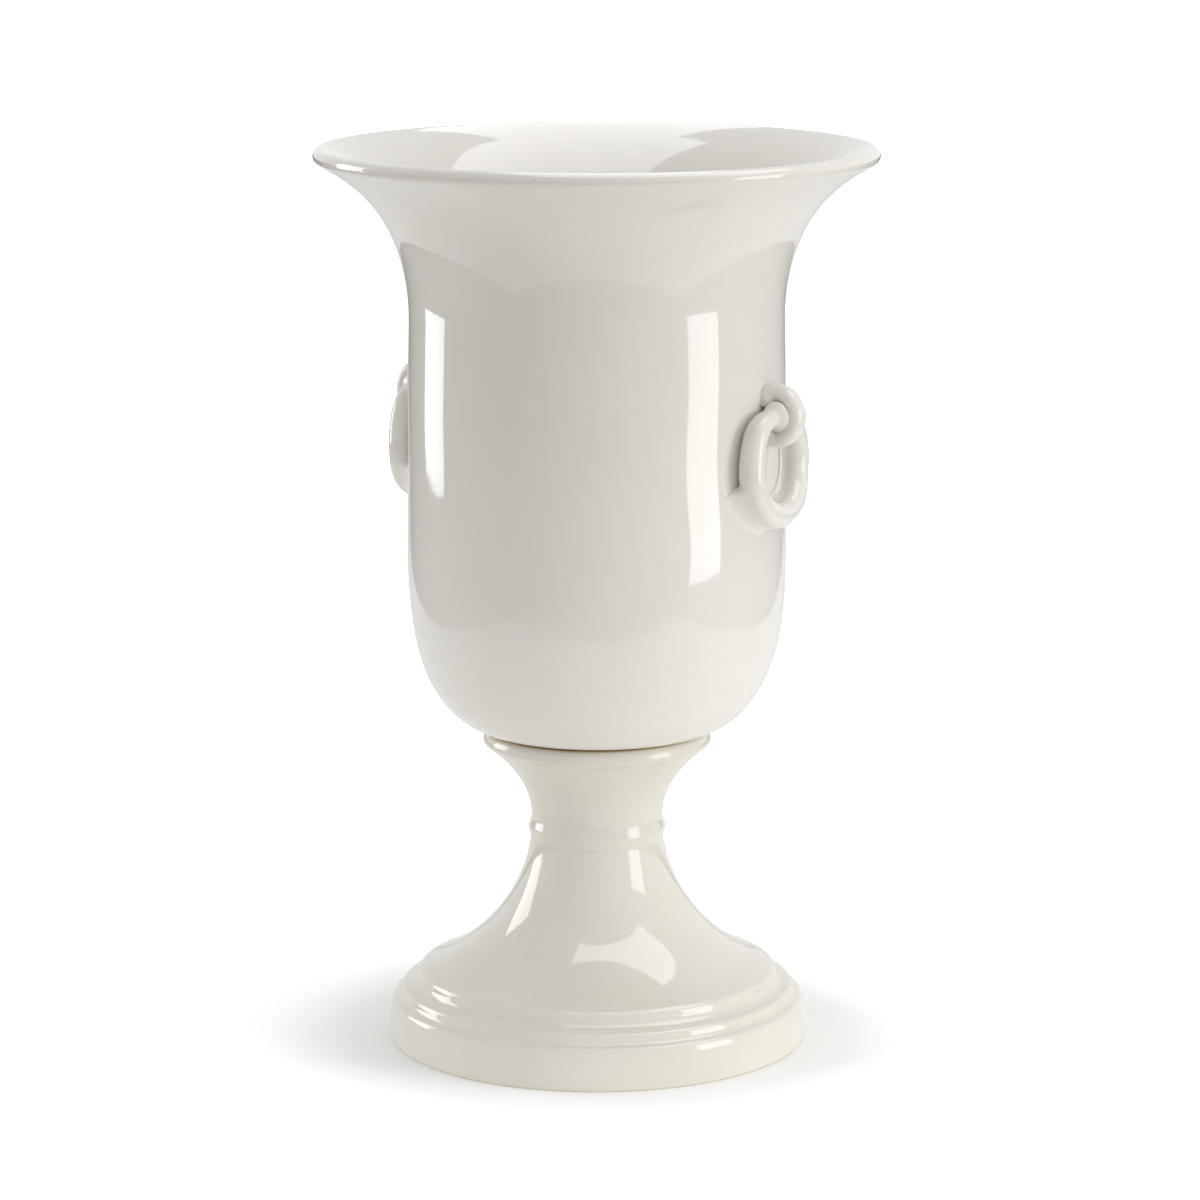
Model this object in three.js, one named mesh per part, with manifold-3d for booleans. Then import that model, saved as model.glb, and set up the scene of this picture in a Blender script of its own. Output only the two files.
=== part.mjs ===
// Footed ceramic urn with ring handles: a glazed bowl bolted to a separately fired hollow pedestal,
// with a ring and a gripping lug of clay fixed to the wall on each side.
// Millimetres, +Z up, origin at the middle of the foot's underside, handles on the X axis.
import * as THREE from 'three';
import { mergeVertices } from 'three/addons/utils/BufferGeometryUtils.js';
import Module from 'manifold-3d';

const wasm = await Module();
wasm.setup();

// Plinth and mouldings of the pedestal, from the floor up: each moulding goes in by one size and up by another
const footRadius = 100.4;
const footEdgeRound = 0.8;
const bandHeight = 11.7;
const shoulderIn = 2.2;
const shoulderRise = 9.1;
const lowerCoveIn = 3.4;
const lowerCoveRise = 3.0;
const stepIn = 2.1;
const stepRise = 2.8;
const upperCoveIn = 6.2;
const upperCoveRise = 5.5;
const rollIn = 5.15;
const rollRise = 3.3;
const rollTurn = THREE.MathUtils.degToRad(60);

// Skirt, waist, bead and neck: the reaches are how far a curve keeps the direction it starts or ends with
const skirtReach = 28.7;
const skirtDrop = 28;
const skirtLean = 0.125;
const waistRadius = 32.1;
const waistHeight = 98.6;
const beadUnderside = 1.7;
const beadRadius = 33;
const beadHeight = 103.5;
const beadTopside = 2;
const neckRadius = 31.65;
const neckHeight = 109.4;
const neckReach = 17.6;

// Cup lip at the top of the pedestal, which the bowl stands in
const cupRadius = 55;
const cupHeight = 147.1;
const cupFlareIn = 1.4;
const cupFlareDrop = 2.2;
const cupFlareSlope = 0.7;
const cupFlareReach = 10.3;
const lipIn = 3.8;
const lipRise = 4.5;
const lipInnerRound = 1.9;

// Walls of the hollow pedestal
const footWall = 9;
const skirtWall = 7.6;
const deckThickness = 8;
const deckFillet = 1;
const cavityTopInset = 12.6;

// Bowl, with heights above its own base
const baseInset = 7.35;
const undersideSlope = 0.176;
const undersideStraight = 11.9;
const undersideReach = 11.6;
const bellyRadius = 90.5;
const bellyHeight = 82.8;
const bellyDrop = 65;
const bodyRadius = 89.35;
const bodyHeight = 198.7;
const bodyReach = 20;
const rimRadius = 133.5;
const bowlHeight = 281.1;
const flareReach = 49.6;
const lipRollRadius = 3.8;
const flareSlope = 0.51;
const flareRunIn = 20;
const bowlWall = 6.4;
const floorThickness = 9;
const floorRadius = 30;
const innerLipTurn = THREE.MathUtils.degToRad(115);

// Ring handles: a round bar of clay bent to the wall, thinner under the lug and pushed out at its near shoulder
const ringAcross = 24.2;
const ringUp = 23.4;
const ringHalfThickness = 6.2;
const ringTopHalfThickness = 4.8;
const ringHeight = 287;
const shoulderBulge = 3;
const shoulderClock = THREE.MathUtils.degToRad(-42);
const shoulderSpread = THREE.MathUtils.degToRad(22);

// Ridge of slip that fills the corner between the ring and the wall, with its ends as on a clock seen from outside
const slipFrom = THREE.MathUtils.degToRad(186);
const slipTo = THREE.MathUtils.degToRad(256);
const slipHalfWidth = 5.2;
const slipHalfDepth = 3;
const slipOut = 3.2;

// Lug: a flattened bar of clay curled round the ring's top, with both ends spread on the wall
const lugHalfThickness = 4.2;
const lugHalfWidth = 5.2;
const lugClearance = 0.4;
const lugStretch = 1.13;
const lugEnd = THREE.MathUtils.degToRad(140);
const rootHalfWidth = 7.1;
const rootHalfHeight = 4.6;
const rootDepth = 2.8;
const rootTurn = THREE.MathUtils.degToRad(118);
const rootShift = 1.8;

// Bolted joint through the bowl's floor and the pedestal's deck, with an M8 bolt
const boltRadius = 4;
const boltPast = 7;
const boltTipChamfer = 1;
const holeClearance = 1;
const washerClearance = 0.45;
const headAcrossFlats = 13;
const headHeight = 5.3;
const nutHeight = 6.5;
const hexChamfer = 0.5;
const steelWasherRadius = 15;
const steelWasherThickness = 1.6;
const rubberWasherRadius = 16;
const rubberWasherThickness = 2.5;
const lockWasherRadius = 7.2;
const lockWasherThickness = 2;
const lockWasherSplit = 0.16;
const gasketThickness = 2;
const gasketInnerRadius = 12;
const gasketInset = 1.5;

// Clearances between pieces that seat on each other
const seatGap = 0.3;
const seamGap = 0.9;

// Fineness of the facets
const turnSegments = 40;
const boltSegments = 18;
const beadSteps = 3;

const v2 = (x, y) => new THREE.Vector2(x, y);

// Heights and radii that follow from the sizes above
const holeRadius = boltRadius + holeClearance;
const cupTop = cupHeight + lipRise;
const lipCrestRadius = cupRadius - lipIn;
const cupInnerRadius = lipCrestRadius - lipInnerRound;
const baseRadius = cupInnerRadius - baseInset;
const baseZ = cupTop + seamGap - (lipCrestRadius - baseRadius) * Math.tan(undersideSlope);
const deckTop = baseZ - gasketThickness - 2 * seatGap;
const deckUnder = deckTop - deckThickness;
const floorTop = baseZ + floorThickness;
const rimTop = baseZ + bowlHeight;
const lipCentre = v2(rimRadius - lipRollRadius, rimTop - lipRollRadius);

// An outline is collected as a list of points, with each curve starting where the last one ended.
function outline(start) {
  const points = [start];
  const last = () => points[points.length - 1];
  const pen = {
    points,
    last,
    line(r, z) {
      points.push(v2(r, z));
      return pen;
    },
    bezier(a, b, end, steps) {
      points.push(...new THREE.CubicBezierCurve(last(), a, b, end).getPoints(steps).slice(1));
      return pen;
    },
    arc(centre, radius, from, to, steps) {
      for (let i = 1; i <= steps; i++) {
        const angle = from + ((to - from) * i) / steps;
        points.push(v2(centre.x + radius * Math.cos(angle), centre.y + radius * Math.sin(angle)));
      }
      return pen;
    },
    // A convex quarter of an ellipse that leaves upright and ends level, or stops after part of its turn.
    round(inward, rise, steps, turn = Math.PI / 2) {
      const from = last();
      for (let i = 1; i <= steps; i++) {
        const angle = (turn * i) / steps;
        points.push(v2(from.x - inward * (1 - Math.cos(angle)), from.y + rise * Math.sin(angle)));
      }
      return pen;
    },
    // A hollow quarter of an ellipse that leaves level and ends upright.
    cove(inward, rise, steps) {
      const from = last();
      for (let i = 1; i <= steps; i++) {
        const angle = (Math.PI * i) / (2 * steps);
        points.push(v2(from.x - inward * Math.sin(angle), from.y + rise * (1 - Math.cos(angle))));
      }
      return pen;
    },
  };
  return pen;
}

// Deletes what a solid doesn't need and joins the vertices that lie together.
function closed(geometry) {
  geometry.deleteAttribute('normal');
  geometry.deleteAttribute('uv');
  return mergeVertices(geometry, 1e-4);
}

// Turns an outline of radius and height about the Z axis.
function turned(points, segments = turnSegments) {
  return closed(new THREE.LatheGeometry(points, segments).rotateX(Math.PI / 2));
}

function toSolid(geometry) {
  return new wasm.Manifold(new wasm.Mesh({
    numProp: 3,
    vertProperties: new Float32Array(geometry.attributes.position.array),
    triVerts: new Uint32Array(geometry.index.array),
  }));
}

function toGeometry(solid) {
  const mesh = solid.getMesh();
  const geometry = new THREE.BufferGeometry();
  geometry.setAttribute('position', new THREE.BufferAttribute(mesh.vertProperties, 3));
  geometry.setIndex(new THREE.BufferAttribute(mesh.triVerts, 1));
  return geometry;
}

function part(name, geometry, material) {
  geometry.computeVertexNormals();
  const mesh = new THREE.Mesh(geometry, material);
  mesh.name = name;
  return mesh;
}

const ivoryGlaze = () => new THREE.MeshStandardMaterial({ color: '#e3e0d8', roughness: 0.08, metalness: 0 });
const creamGlaze = () => new THREE.MeshStandardMaterial({ color: '#dfdbcf', roughness: 0.1, metalness: 0 });
const zincSteel = () => new THREE.MeshStandardMaterial({ color: '#b4b7ba', roughness: 0.35, metalness: 1 });
const blackRubber = () => new THREE.MeshStandardMaterial({ color: '#26272a', roughness: 0.85, metalness: 0 });

// The plinth's stepped edge, the skirt, the bead and the cup, from the foot's bottom edge to the lip's crest.
function drawPedestalOutside(pen) {
  pen.line(footRadius - footEdgeRound, 0)
    .line(footRadius, footEdgeRound)
    .line(footRadius, bandHeight)
    .round(shoulderIn, shoulderRise, 4)
    .cove(lowerCoveIn, lowerCoveRise, 3)
    .round(stepIn, stepRise, 3)
    .cove(upperCoveIn, upperCoveRise, 4)
    .round(rollIn, rollRise, 3, rollTurn);
  const rollEnd = pen.last();
  const leaving = v2(-rollIn * Math.sin(rollTurn), rollRise * Math.cos(rollTurn)).normalize();
  const waist = v2(waistRadius, waistHeight);
  const leaning = v2(Math.sin(skirtLean), -Math.cos(skirtLean));
  pen.bezier(rollEnd.clone().addScaledVector(leaving, skirtReach), waist.clone().addScaledVector(leaning, skirtDrop),
    waist, 10)
    .bezier(v2(waistRadius, waistHeight + beadUnderside), v2(beadRadius, beadHeight - beadUnderside),
      v2(beadRadius, beadHeight), beadSteps)
    .bezier(v2(beadRadius, beadHeight + beadTopside), v2(neckRadius, neckHeight - beadTopside),
      v2(neckRadius, neckHeight), beadSteps);
  const flareEnd = v2(cupRadius - cupFlareIn, cupHeight - cupFlareDrop);
  const flareWay = v2(Math.cos(cupFlareSlope), Math.sin(cupFlareSlope));
  pen.bezier(v2(neckRadius, neckHeight + neckReach), flareEnd.clone().addScaledVector(flareWay, -cupFlareReach),
      flareEnd, 7)
    .bezier(flareEnd.clone().addScaledVector(flareWay, cupFlareIn), v2(cupRadius, cupHeight - cupFlareIn),
      v2(cupRadius, cupHeight), 2)
    .round(lipIn, lipRise, 3);
}

// The hollow under the deck follows the outside at the wall's thickness.
function drawPedestalHollow(pen) {
  const neckInside = neckRadius - skirtWall;
  const waistInside = waistRadius - skirtWall;
  const cavityTop = cupInnerRadius - cavityTopInset;
  const footInside = footRadius - footWall;
  const rollHeight = bandHeight + shoulderRise + lowerCoveRise + stepRise + upperCoveRise;
  const rollInside = footInside - shoulderIn - lowerCoveIn - stepIn - skirtWall / 2;
  const roof = rollHeight + rollRise - skirtWall;
  pen.line(cavityTop, deckUnder)
    .bezier(v2(cavityTop - skirtWall, deckUnder - skirtWall), v2(neckInside, neckHeight + neckReach),
      v2(neckInside, neckHeight), 3)
    .line(waistInside, waistHeight)
    .bezier(v2(waistInside, waistHeight - skirtDrop - skirtWall), v2(rollInside - skirtReach, roof + skirtWall),
      v2(rollInside, roof), 5)
    .bezier(v2(rollInside + skirtWall, roof - skirtWall / 4), v2(footInside, roof - skirtWall),
      v2(footInside, bandHeight), 2)
    .line(footInside, 0);
}

function pedestal() {
  const pen = outline(v2(footRadius - footWall, 0));
  drawPedestalOutside(pen);
  pen.arc(v2(lipCrestRadius, cupTop - lipInnerRound), lipInnerRound, Math.PI / 2, Math.PI, 3)
    .line(cupInnerRadius, deckTop + deckFillet)
    .line(cupInnerRadius - deckFillet, deckTop)
    .line(holeRadius, deckTop)
    .line(holeRadius, deckUnder);
  drawPedestalHollow(pen);
  return part('pedestal', turned(pen.points), creamGlaze());
}

// The wall between its widest place low down and its narrowest place under the flare.
function bodyCurve(extra = 0) {
  const low = v2(bellyRadius + extra, baseZ + bellyHeight);
  const high = v2(bodyRadius + extra, baseZ + bodyHeight);
  return new THREE.CubicBezierCurve(low, v2(low.x, low.y + bodyReach), v2(high.x, high.y - bodyReach), high);
}

function drawBowlOutside(pen) {
  const leaving = v2(Math.cos(undersideSlope), Math.sin(undersideSlope));
  const curveStart = v2(baseRadius + undersideStraight, baseZ + undersideStraight * Math.tan(undersideSlope));
  pen.line(baseRadius, baseZ)
    .line(curveStart.x, curveStart.y)
    .bezier(curveStart.clone().addScaledVector(leaving, undersideReach),
      v2(bellyRadius, baseZ + bellyHeight - bellyDrop), v2(bellyRadius, baseZ + bellyHeight), 12);
  const body = bodyCurve();
  pen.bezier(body.v1, body.v2, body.v3, 3);
  const rollStart = flareSlope - Math.PI / 2;
  const flareEnd = lipCentre.clone().addScaledVector(v2(Math.cos(rollStart), Math.sin(rollStart)), lipRollRadius);
  const flareWay = v2(Math.cos(flareSlope), Math.sin(flareSlope));
  pen.bezier(v2(bodyRadius, body.v3.y + flareReach), flareEnd.clone().addScaledVector(flareWay, -flareRunIn),
    flareEnd, 12)
    .arc(lipCentre, lipRollRadius, rollStart, innerLipTurn, 7);
}

function drawBowlInside(pen) {
  const lipInside = pen.last().clone();
  const falling = v2(-Math.sin(innerLipTurn), Math.cos(innerLipTurn));
  const bodyInside = bodyRadius - bowlWall;
  const bellyInside = bellyRadius - bowlWall;
  const undersideInside = (floorRadius + bellyInside + bowlWall) / 2;
  pen.bezier(lipInside.clone().addScaledVector(falling, flareRunIn), v2(bodyInside, baseZ + bodyHeight + flareReach),
    v2(bodyInside, baseZ + bodyHeight), 8)
    .bezier(v2(bodyInside, baseZ + bodyHeight - bodyReach), v2(bellyInside, baseZ + bellyHeight + bodyReach),
      v2(bellyInside, baseZ + bellyHeight), 3)
    .bezier(v2(bellyInside, baseZ + bellyHeight - bellyDrop), v2(undersideInside, floorTop),
      v2(floorRadius, floorTop), 8)
    .line(holeRadius, floorTop)
    .line(holeRadius, baseZ);
}

function bowl() {
  const pen = outline(v2(holeRadius, baseZ));
  drawBowlOutside(pen);
  drawBowlInside(pen);
  return part('bowl', turned(pen.points), ivoryGlaze());
}

// The bowl's wall as a full core, let out by the seat's gap, which the handles are cut with.
function wallCore() {
  const curve = bodyCurve(seatGap);
  const pen = outline(v2(0, curve.v0.y - bellyDrop / 2));
  pen.line(curve.v0.x, curve.v0.y - bellyDrop / 2)
    .line(curve.v0.x, curve.v0.y)
    .bezier(curve.v1, curve.v2, curve.v3, 3)
    .line(curve.v3.x, curve.v3.y + flareReach / 2)
    .line(0, curve.v3.y + flareReach / 2);
  return toSolid(turned(pen.points));
}

// The wall's radius at a height, read from the body's curve.
function wallRadiusAt(height) {
  const curve = bodyCurve();
  let low = 0;
  let high = 1;
  for (let i = 0; i < 30; i++) {
    const middle = (low + high) / 2;
    if (curve.getPoint(middle).y < height) low = middle;
    else high = middle;
  }
  return curve.getPoint(low).x;
}

// Moves every vertex of a geometry to where a function of its position puts it.
function reshaped(geometry, place) {
  const positions = geometry.attributes.position;
  const point = new THREE.Vector3();
  for (let i = 0; i < positions.count; i++) {
    place(point.fromBufferAttribute(positions, i));
    positions.setXYZ(i, point.x, point.y, point.z);
  }
  return closed(geometry);
}

// The distance from the upright plane through the axis to a point of a cylinder round it.
function onCylinder(radius, y) {
  return Math.sqrt(radius * radius - y * y);
}

// The curl of the lug, in the upright plane through the vase's axis.
class Curl extends THREE.Curve {
  constructor(reach, rise, turn, centre) {
    super();
    Object.assign(this, { reach, rise, turn, centre });
  }

  getPoint(t, target = new THREE.Vector3()) {
    const angle = this.turn * (1 - 2 * t);
    return target.set(this.centre.x + this.reach * Math.cos(angle), 0, this.centre.z + this.rise * Math.sin(angle));
  }
}

function ovalSection(halfX, halfY, sides) {
  const shape = new THREE.Shape();
  shape.absellipse(0, 0, halfX, halfY, 0, 2 * Math.PI);
  return new THREE.Shape(shape.getPoints(sides / 2));
}

function swept(section, path, steps) {
  return closed(new THREE.ExtrudeGeometry(section, { extrudePath: path, steps, bevelEnabled: false }));
}

// A place on the ring's bar, told by its clock angle and by shares of the thickness outward and off the wall.
function placeOnRing(point, clock, outward, off) {
  const topness = Math.max(Math.cos(clock), 0) ** 2;
  const thickness = THREE.MathUtils.lerp(ringHalfThickness, ringTopHalfThickness, topness);
  const bulge = shoulderBulge * Math.exp(-(((clock - shoulderClock) / shoulderSpread) ** 2));
  const across = (ringAcross + bulge) * Math.sin(clock);
  const centre = onCylinder(wallRadiusAt(ringHeight) + seatGap + thickness, across);
  return point.set(centre + thickness * off, across + thickness * outward * Math.sin(clock),
    ringHeight + (ringUp + bulge + thickness * outward) * Math.cos(clock));
}

// A place in the slip's ridge, which is a spindle laid along the ring's outer edge on the wall.
function placeInSlip(point, clock, outward, off) {
  const radius = ringUp + ringHalfThickness - slipHalfWidth + slipOut + slipHalfWidth * outward;
  const across = radius * Math.sin(clock);
  return point.set(onCylinder(wallRadiusAt(ringHeight), across) + slipHalfDepth * off, across,
    ringHeight + radius * Math.cos(clock));
}

// The ring, with the ridge of slip that holds its lower near side to the wall.
function ringSolid(core) {
  const bar = reshaped(new THREE.TorusGeometry(2, 1, 12, 36), (point) => {
    placeOnRing(point, Math.atan2(point.x, point.y), Math.hypot(point.x, point.y) - 2, point.z);
  });
  const slip = reshaped(new THREE.SphereGeometry(1, 10, 10), (point) => {
    const along = Math.asin(THREE.MathUtils.clamp(point.y, -1, 1)) / Math.PI + 0.5;
    placeInSlip(point, THREE.MathUtils.lerp(slipTo, slipFrom, along), point.x, point.z);
  });
  return toSolid(bar).add(toSolid(slip)).subtract(core);
}

// The lug, which grips the top of the ring with a clearance all round.
function lugSolid(core) {
  const reach = ringTopHalfThickness + lugClearance + lugHalfThickness;
  const rise = reach * lugStretch;
  const distance = wallRadiusAt(ringHeight) + seatGap + ringTopHalfThickness;
  const centre = new THREE.Vector3(distance, 0, ringHeight + ringUp);
  const curl = new Curl(reach, rise, lugEnd, centre);
  let solid = toSolid(swept(ovalSection(lugHalfWidth, lugHalfThickness, 10), curl, 14));
  for (const side of [1, -1]) {
    const rootZ = centre.z + side * (rise * Math.sin(rootTurn) + rootShift);
    const root = closed(new THREE.SphereGeometry(1, 10, 6)
      .rotateX(Math.PI / 2)
      .scale(rootDepth, rootHalfWidth, rootHalfHeight)
      .translate(wallRadiusAt(rootZ), 0, rootZ));
    solid = solid.add(toSolid(root));
  }
  return solid.subtract(core);
}

function handle(side, finish, core) {
  const group = new THREE.Group();
  group.add(
    part(`ring_${side}`, toGeometry(finish(ringSolid(core))), ivoryGlaze()),
    part(`lug_${side}`, toGeometry(finish(lugSolid(core))), ivoryGlaze()),
  );
  return group;
}

// A flat washer with its underside at a height.
function washer(name, bottom, thickness, radius, bore, material) {
  const pen = outline(v2(bore, bottom));
  pen.line(radius, bottom).line(radius, bottom + thickness).line(bore, bottom + thickness).line(bore, bottom);
  return part(name, turned(pen.points, boltSegments), material);
}

// A six-sided block whose corners are turned off at its top, or at both ends.
function hexBlock(bottom, height, bothEnds) {
  const cornerRadius = headAcrossFlats / 2 / Math.cos(Math.PI / 6);
  const inset = cornerRadius - headAcrossFlats / 2 + hexChamfer;
  const block = closed(new THREE.CylinderGeometry(cornerRadius, cornerRadius, height, 6)
    .rotateX(Math.PI / 2)
    .translate(0, 0, bottom + height / 2));
  const low = bothEnds ? inset : 0;
  const pen = outline(v2(0, bottom));
  pen.line(cornerRadius + hexChamfer - low, bottom)
    .line(cornerRadius + hexChamfer, bottom + low * Math.tan(Math.PI / 6))
    .line(cornerRadius + hexChamfer, bottom + height - inset * Math.tan(Math.PI / 6))
    .line(cornerRadius + hexChamfer - inset, bottom + height)
    .line(0, bottom + height);
  return toSolid(block).intersect(toSolid(turned(pen.points, boltSegments)));
}

function tieBolt(headSeat, tip) {
  const pen = outline(v2(0, tip));
  pen.line(boltRadius - boltTipChamfer, tip)
    .line(boltRadius, tip + boltTipChamfer)
    .line(boltRadius, headSeat + headHeight / 2)
    .line(0, headSeat + headHeight / 2);
  const shank = toSolid(turned(pen.points, boltSegments));
  return part('tie_bolt', toGeometry(shank.add(hexBlock(headSeat, headHeight, false))), zincSteel());
}

function hexNut(bottom, bore) {
  const pen = outline(v2(0, bottom - nutHeight));
  pen.line(bore, bottom - nutHeight).line(bore, bottom + 2 * nutHeight).line(0, bottom + 2 * nutHeight);
  const hole = toSolid(turned(pen.points, boltSegments));
  return part('hex_nut', toGeometry(hexBlock(bottom, nutHeight, true).subtract(hole)), zincSteel());
}

// A split spring washer, open at one side.
function lockWasher(bottom, bore) {
  const shape = new THREE.Shape();
  shape.absarc(0, 0, lockWasherRadius, lockWasherSplit, 2 * Math.PI - lockWasherSplit, false);
  shape.absarc(0, 0, bore, 2 * Math.PI - lockWasherSplit, lockWasherSplit, true);
  const geometry = new THREE.ExtrudeGeometry(shape, {
    depth: lockWasherThickness, bevelEnabled: false, curveSegments: boltSegments / 2,
  }).rotateZ(Math.PI / 2).translate(0, 0, bottom);
  return part('lock_washer', closed(geometry), zincSteel());
}

// Everything on the bolt, stacked from the bowl's floor up and from the deck's underside down.
function boltedJoint() {
  const group = new THREE.Group();
  const bore = boltRadius + washerClearance;
  const sealBottom = floorTop + seatGap;
  const clampBottom = sealBottom + rubberWasherThickness + seatGap;
  const headSeat = clampBottom + steelWasherThickness + seatGap;
  const cushionBottom = deckUnder - seatGap - rubberWasherThickness;
  const lowerBottom = cushionBottom - seatGap - steelWasherThickness;
  const lockBottom = lowerBottom - seatGap - lockWasherThickness;
  const nutBottom = lockBottom - seatGap - nutHeight;
  const gasketRadius = baseRadius - gasketInset;
  group.add(
    washer('seal_washer', sealBottom, rubberWasherThickness, rubberWasherRadius, bore, blackRubber()),
    washer('clamp_washer', clampBottom, steelWasherThickness, steelWasherRadius, bore, zincSteel()),
    tieBolt(headSeat, nutBottom - boltPast),
    washer('seat_gasket', deckTop + seatGap, gasketThickness, gasketRadius, gasketInnerRadius, blackRubber()),
    washer('cushion_washer', cushionBottom, rubberWasherThickness, rubberWasherRadius, bore, blackRubber()),
    washer('lower_washer', lowerBottom, steelWasherThickness, steelWasherRadius, bore, zincSteel()),
    lockWasher(lockBottom, bore),
    hexNut(nutBottom, bore),
  );
  return group;
}

const core = wallCore();
const vase = new THREE.Group();
vase.add(
  pedestal(),
  bowl(),
  handle('right', (solid) => solid, core),
  handle('left', (solid) => solid.mirror([1, 0, 0]), core),
  boltedJoint(),
);

export default vase;
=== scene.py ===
"""Footed ivory ceramic vase with ring handles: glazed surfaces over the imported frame.

Lengths in this file are millimetres until a mesh, lamp or camera is made, which are in metres.
"""
import math

import bpy
import numpy as np
from mathutils import Matrix, Vector


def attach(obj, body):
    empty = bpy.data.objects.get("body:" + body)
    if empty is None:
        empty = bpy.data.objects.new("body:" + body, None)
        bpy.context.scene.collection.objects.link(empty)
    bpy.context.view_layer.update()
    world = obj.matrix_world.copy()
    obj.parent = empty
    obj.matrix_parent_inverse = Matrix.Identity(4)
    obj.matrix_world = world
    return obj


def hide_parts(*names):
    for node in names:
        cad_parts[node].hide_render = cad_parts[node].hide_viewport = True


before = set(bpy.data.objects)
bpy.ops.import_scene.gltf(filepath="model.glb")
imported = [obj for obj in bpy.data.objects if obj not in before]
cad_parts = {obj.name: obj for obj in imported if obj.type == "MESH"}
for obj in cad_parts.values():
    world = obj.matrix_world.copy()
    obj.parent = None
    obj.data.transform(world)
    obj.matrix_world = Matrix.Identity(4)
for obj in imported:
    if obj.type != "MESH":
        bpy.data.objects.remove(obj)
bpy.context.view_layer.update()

METRES = 0.001

# Plinth and mouldings of the pedestal, from the floor up
FOOT_RADIUS = 100.4
FOOT_EDGE = 0.8
BAND_HEIGHT = 11.7
SHOULDER = (2.2, 9.1)
LOWER_COVE = (3.4, 3.0)
STEP = (2.1, 2.8)
UPPER_COVE = (6.2, 5.5)
ROLL = (5.15, 3.3)
ROLL_TURN = math.radians(60)

# Skirt, waist, bead and neck
SKIRT_REACH = 28.7
SKIRT_DROP = 28.0
SKIRT_LEAN = 0.125
WAIST = (32.1, 98.6)
BEAD = (33.0, 103.5)
BEAD_UNDER = 1.7
BEAD_OVER = 2.0
NECK = (31.65, 109.4)
NECK_REACH = 17.6

# Cup lip, which the bowl stands in
CUP = (55.0, 147.1)
CUP_FLARE_IN = 1.4
CUP_FLARE_DROP = 2.2
CUP_FLARE_SLOPE = 0.7
CUP_FLARE_REACH = 10.3
LIP = (3.8, 4.5)
LIP_INNER_ROUND = 1.9

# Walls of the hollow pedestal
FOOT_WALL = 9.0
SKIRT_WALL = 7.6
DECK_THICKNESS = 8.0
CAVITY_TOP_INSET = 12.6

# Bowl, with heights above its own base
BASE_INSET = 7.35
UNDERSIDE_SLOPE = 0.176
UNDERSIDE_STRAIGHT = 11.9
UNDERSIDE_REACH = 11.6
BELLY = (90.5, 82.8)
BELLY_DROP = 65.0
BODY = (89.35, 198.7)
BODY_REACH = 20.0
RIM_RADIUS = 133.5
BOWL_HEIGHT = 281.1
FLARE_REACH = 49.6
LIP_ROLL = 3.8
FLARE_SLOPE = 0.51
FLARE_RUN_IN = 20.0
BOWL_WALL = 6.4
FLOOR_THICKNESS = 9.0
FLOOR_RADIUS = 30.0
INNER_LIP_TURN = math.radians(115)

# Ring handles. The clock angle along a ring's bar is nought at the top and goes both ways to the bottom.
RING_ACROSS = 24.2
RING_UP = 23.4
RING_THICK = 6.2
RING_TOP_THICK = 4.8
RING_HEIGHT = 287.0
RING_LUMPS = 0.011
SHOULDER_BULGE = 3.0
SHOULDER_CLOCK = math.radians(-42)
SHOULDER_SPREAD = math.radians(22)

# Slip that runs the bar's lower near side into the wall. LEAVES and LANDS are angles round the bar in
# radians, nought outward, and RISE is how high the run-in stands off the wall. The foot lies a little inside
# the wall.
SLIP_FROM = math.radians(-174)
SLIP_TO = math.radians(-104)
SLIP_FADE_IN = 0.12
SLIP_FADE_OUT = 0.1
SLIP_REACH = 6.0
SLIP_LEAVES = 0.35
SLIP_LANDS = -1.75
SLIP_BACK = (-2.6, -1.8)
SLIP_SHOULDER = (1.06, -0.45)
SLIP_RISE = 0.25
SLIP_SUNK = 0.1

# Glaze that fills the corner inside the eye, between the bar's far side and the wall, in the same terms
FILL_MIDDLE = math.radians(112)
FILL_SPREAD = math.radians(84)
FILL_FADE = 0.4
FILL_REACH = 2.6
FILL_LEAVES = -math.pi + 0.2
FILL_LANDS = -1.4
FILL_BACK = -0.9
FILL_SHOULDER = -0.5
FILL_RISE = 0.35
FILL_CLEAR = 0.05
RUN_IN_SHARE = 0.3

# Collars of glaze on the bar beside the lug, and the bar's taller section in it, by distance from the middle
COLLAR = 1.8
COLLAR_RISES = (2.6, 4.9)
COLLAR_FALLS = (5.2, 9.0)
TALLER = 0.22
TALLER_FALLS = (4.5, 8.0)

# Lugs that grip the rings
LUG_THICK = 4.2
LUG_WIDE = 5.2
LUG_CLEARANCE = 0.4
LUG_STRETCH = 1.13
LUG_END = math.radians(140)
LUG_SQUARE = 2.2
ROOT_WIDE = 7.1
ROOT_THICK = 4.7
ROOT_SQUARE = 2.2
ROOT_FROM = math.radians(80)
ROOT_FULL = math.radians(122)

# Bolted joint. Pairs are measured across the bolt and along it. THREAD_DEPTH is a share of the pitch, and a
# FACE is how far in the fan that closes an end starts.
BOLT_RADIUS = 4.0
BOLT_PITCH = 1.25
BOLT_PAST = 7.0
THREAD_DEPTH = 0.61
THREAD_STOPS = 0.2
TIP_CHAMFER = (1.0, 0.8)
TIP_FACE = 2.2
HEAD_EDGE = (0.2, 0.15)
HEAD_FACE = 2.0
HOLE_RADIUS = 5.0
BORE = 4.45
HEX_ACROSS = 13.0
HEX_CHAMFER = 0.5
BORE_CHAMFER = 0.6
HEAD_HEIGHT = 5.3
NUT_HEIGHT = 6.5
STEEL_WASHER = (15.0, 1.6)
RUBBER_WASHER = (16.0, 2.5)
LOCK_WASHER = (7.2, 2.0)
LOCK_SPLIT = 0.16
RUBBER_ROUND = 0.5
GASKET_ROUND = 0.4
STEEL_ROUND = 0.3
LOCK_ROUND = 0.25
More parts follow.
